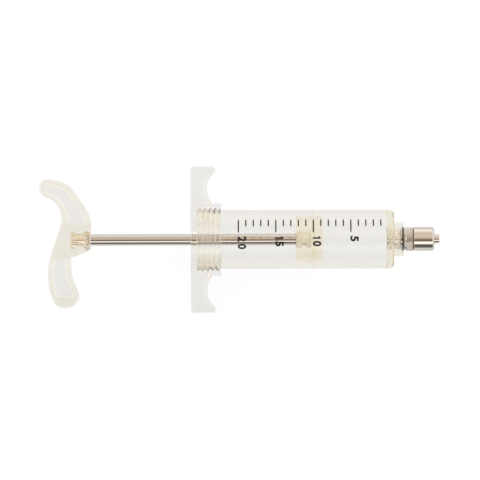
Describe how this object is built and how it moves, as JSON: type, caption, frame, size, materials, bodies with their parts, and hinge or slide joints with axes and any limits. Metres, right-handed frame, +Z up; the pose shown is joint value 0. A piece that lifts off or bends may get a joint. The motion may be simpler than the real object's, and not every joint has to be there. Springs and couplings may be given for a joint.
{
  "type": "luer lock syringe",
  "caption": "Reusable 20 ml syringe: clear graduated barrel, winged finger grip, S-shaped plunger handle and a metal luer lock.",
  "frame": {"origin": "on the syringe's axis, at the front face of the lock collar", "axes": "+X along the axis and out of the luer tip, +Z up as the syringe lies on its grip's skirt and one wing tip, +Y across, which leaves the wings rolled 16.5 degrees from +Y towards +Z"},
  "size_m": [0.1702, 0.0636, 0.0308],
  "materials": {
    "clear_plastic": "gloss",
    "cream_plastic": "gloss",
    "ink": "matte",
    "brass": "satin",
    "plated_brass": "polished",
    "steel": "polished",
    "black_rubber": "matte",
    "silicone": "satin"
  },
  "bodies": {
    "barrel": {"barrel": "clear_plastic", "scale_print": "ink", "nose_insert": "brass"},
    "washer": {"nose_washer": "black_rubber"},
    "nozzle": {"luer_hub": "plated_brass", "lock_collar": "plated_brass"},
    "grip": {"finger_grip": "clear_plastic"},
    "seal": {"piston_seal": "silicone"},
    "plunger": {"piston": "cream_plastic", "piston_insert": "brass", "piston_plug": "cream_plastic", "plunger_rod": "steel", "handle": "clear_plastic", "handle_insert": "brass"}
  },
  "joints": [
    {"name": "nozzle_advance", "type": "slide", "parent": "barrel", "child": "washer", "axis": [1, 0, 0], "range_m": [0, 0.00501]},
    {"name": "nozzle_turn", "type": "hinge", "parent": "washer", "child": "nozzle", "pos_m": [-0.0136, 0, 0], "axis": [1, 0, 0], "range_deg": [0, 1800]},
    {"name": "grip_turn", "type": "hinge", "parent": "barrel", "child": "grip", "pos_m": [-0.1009, 0, 0], "axis": [-1, 0, 0], "range_deg": [0, 1440]},
    {"name": "plunger_slide", "type": "slide", "parent": "barrel", "child": "seal", "axis": [1, 0, 0], "range_m": [-0.0421, 0.0274]},
    {"name": "plunger_turn", "type": "hinge", "parent": "seal", "child": "plunger", "pos_m": [-0.05135, 0, 0], "axis": [1, 0, 0], "continuous": true}
  ],
  "couplings": [
    {"joint": "nozzle_advance", "follows": "nozzle_turn", "m_per_rad": 0.00015915}
  ]
}
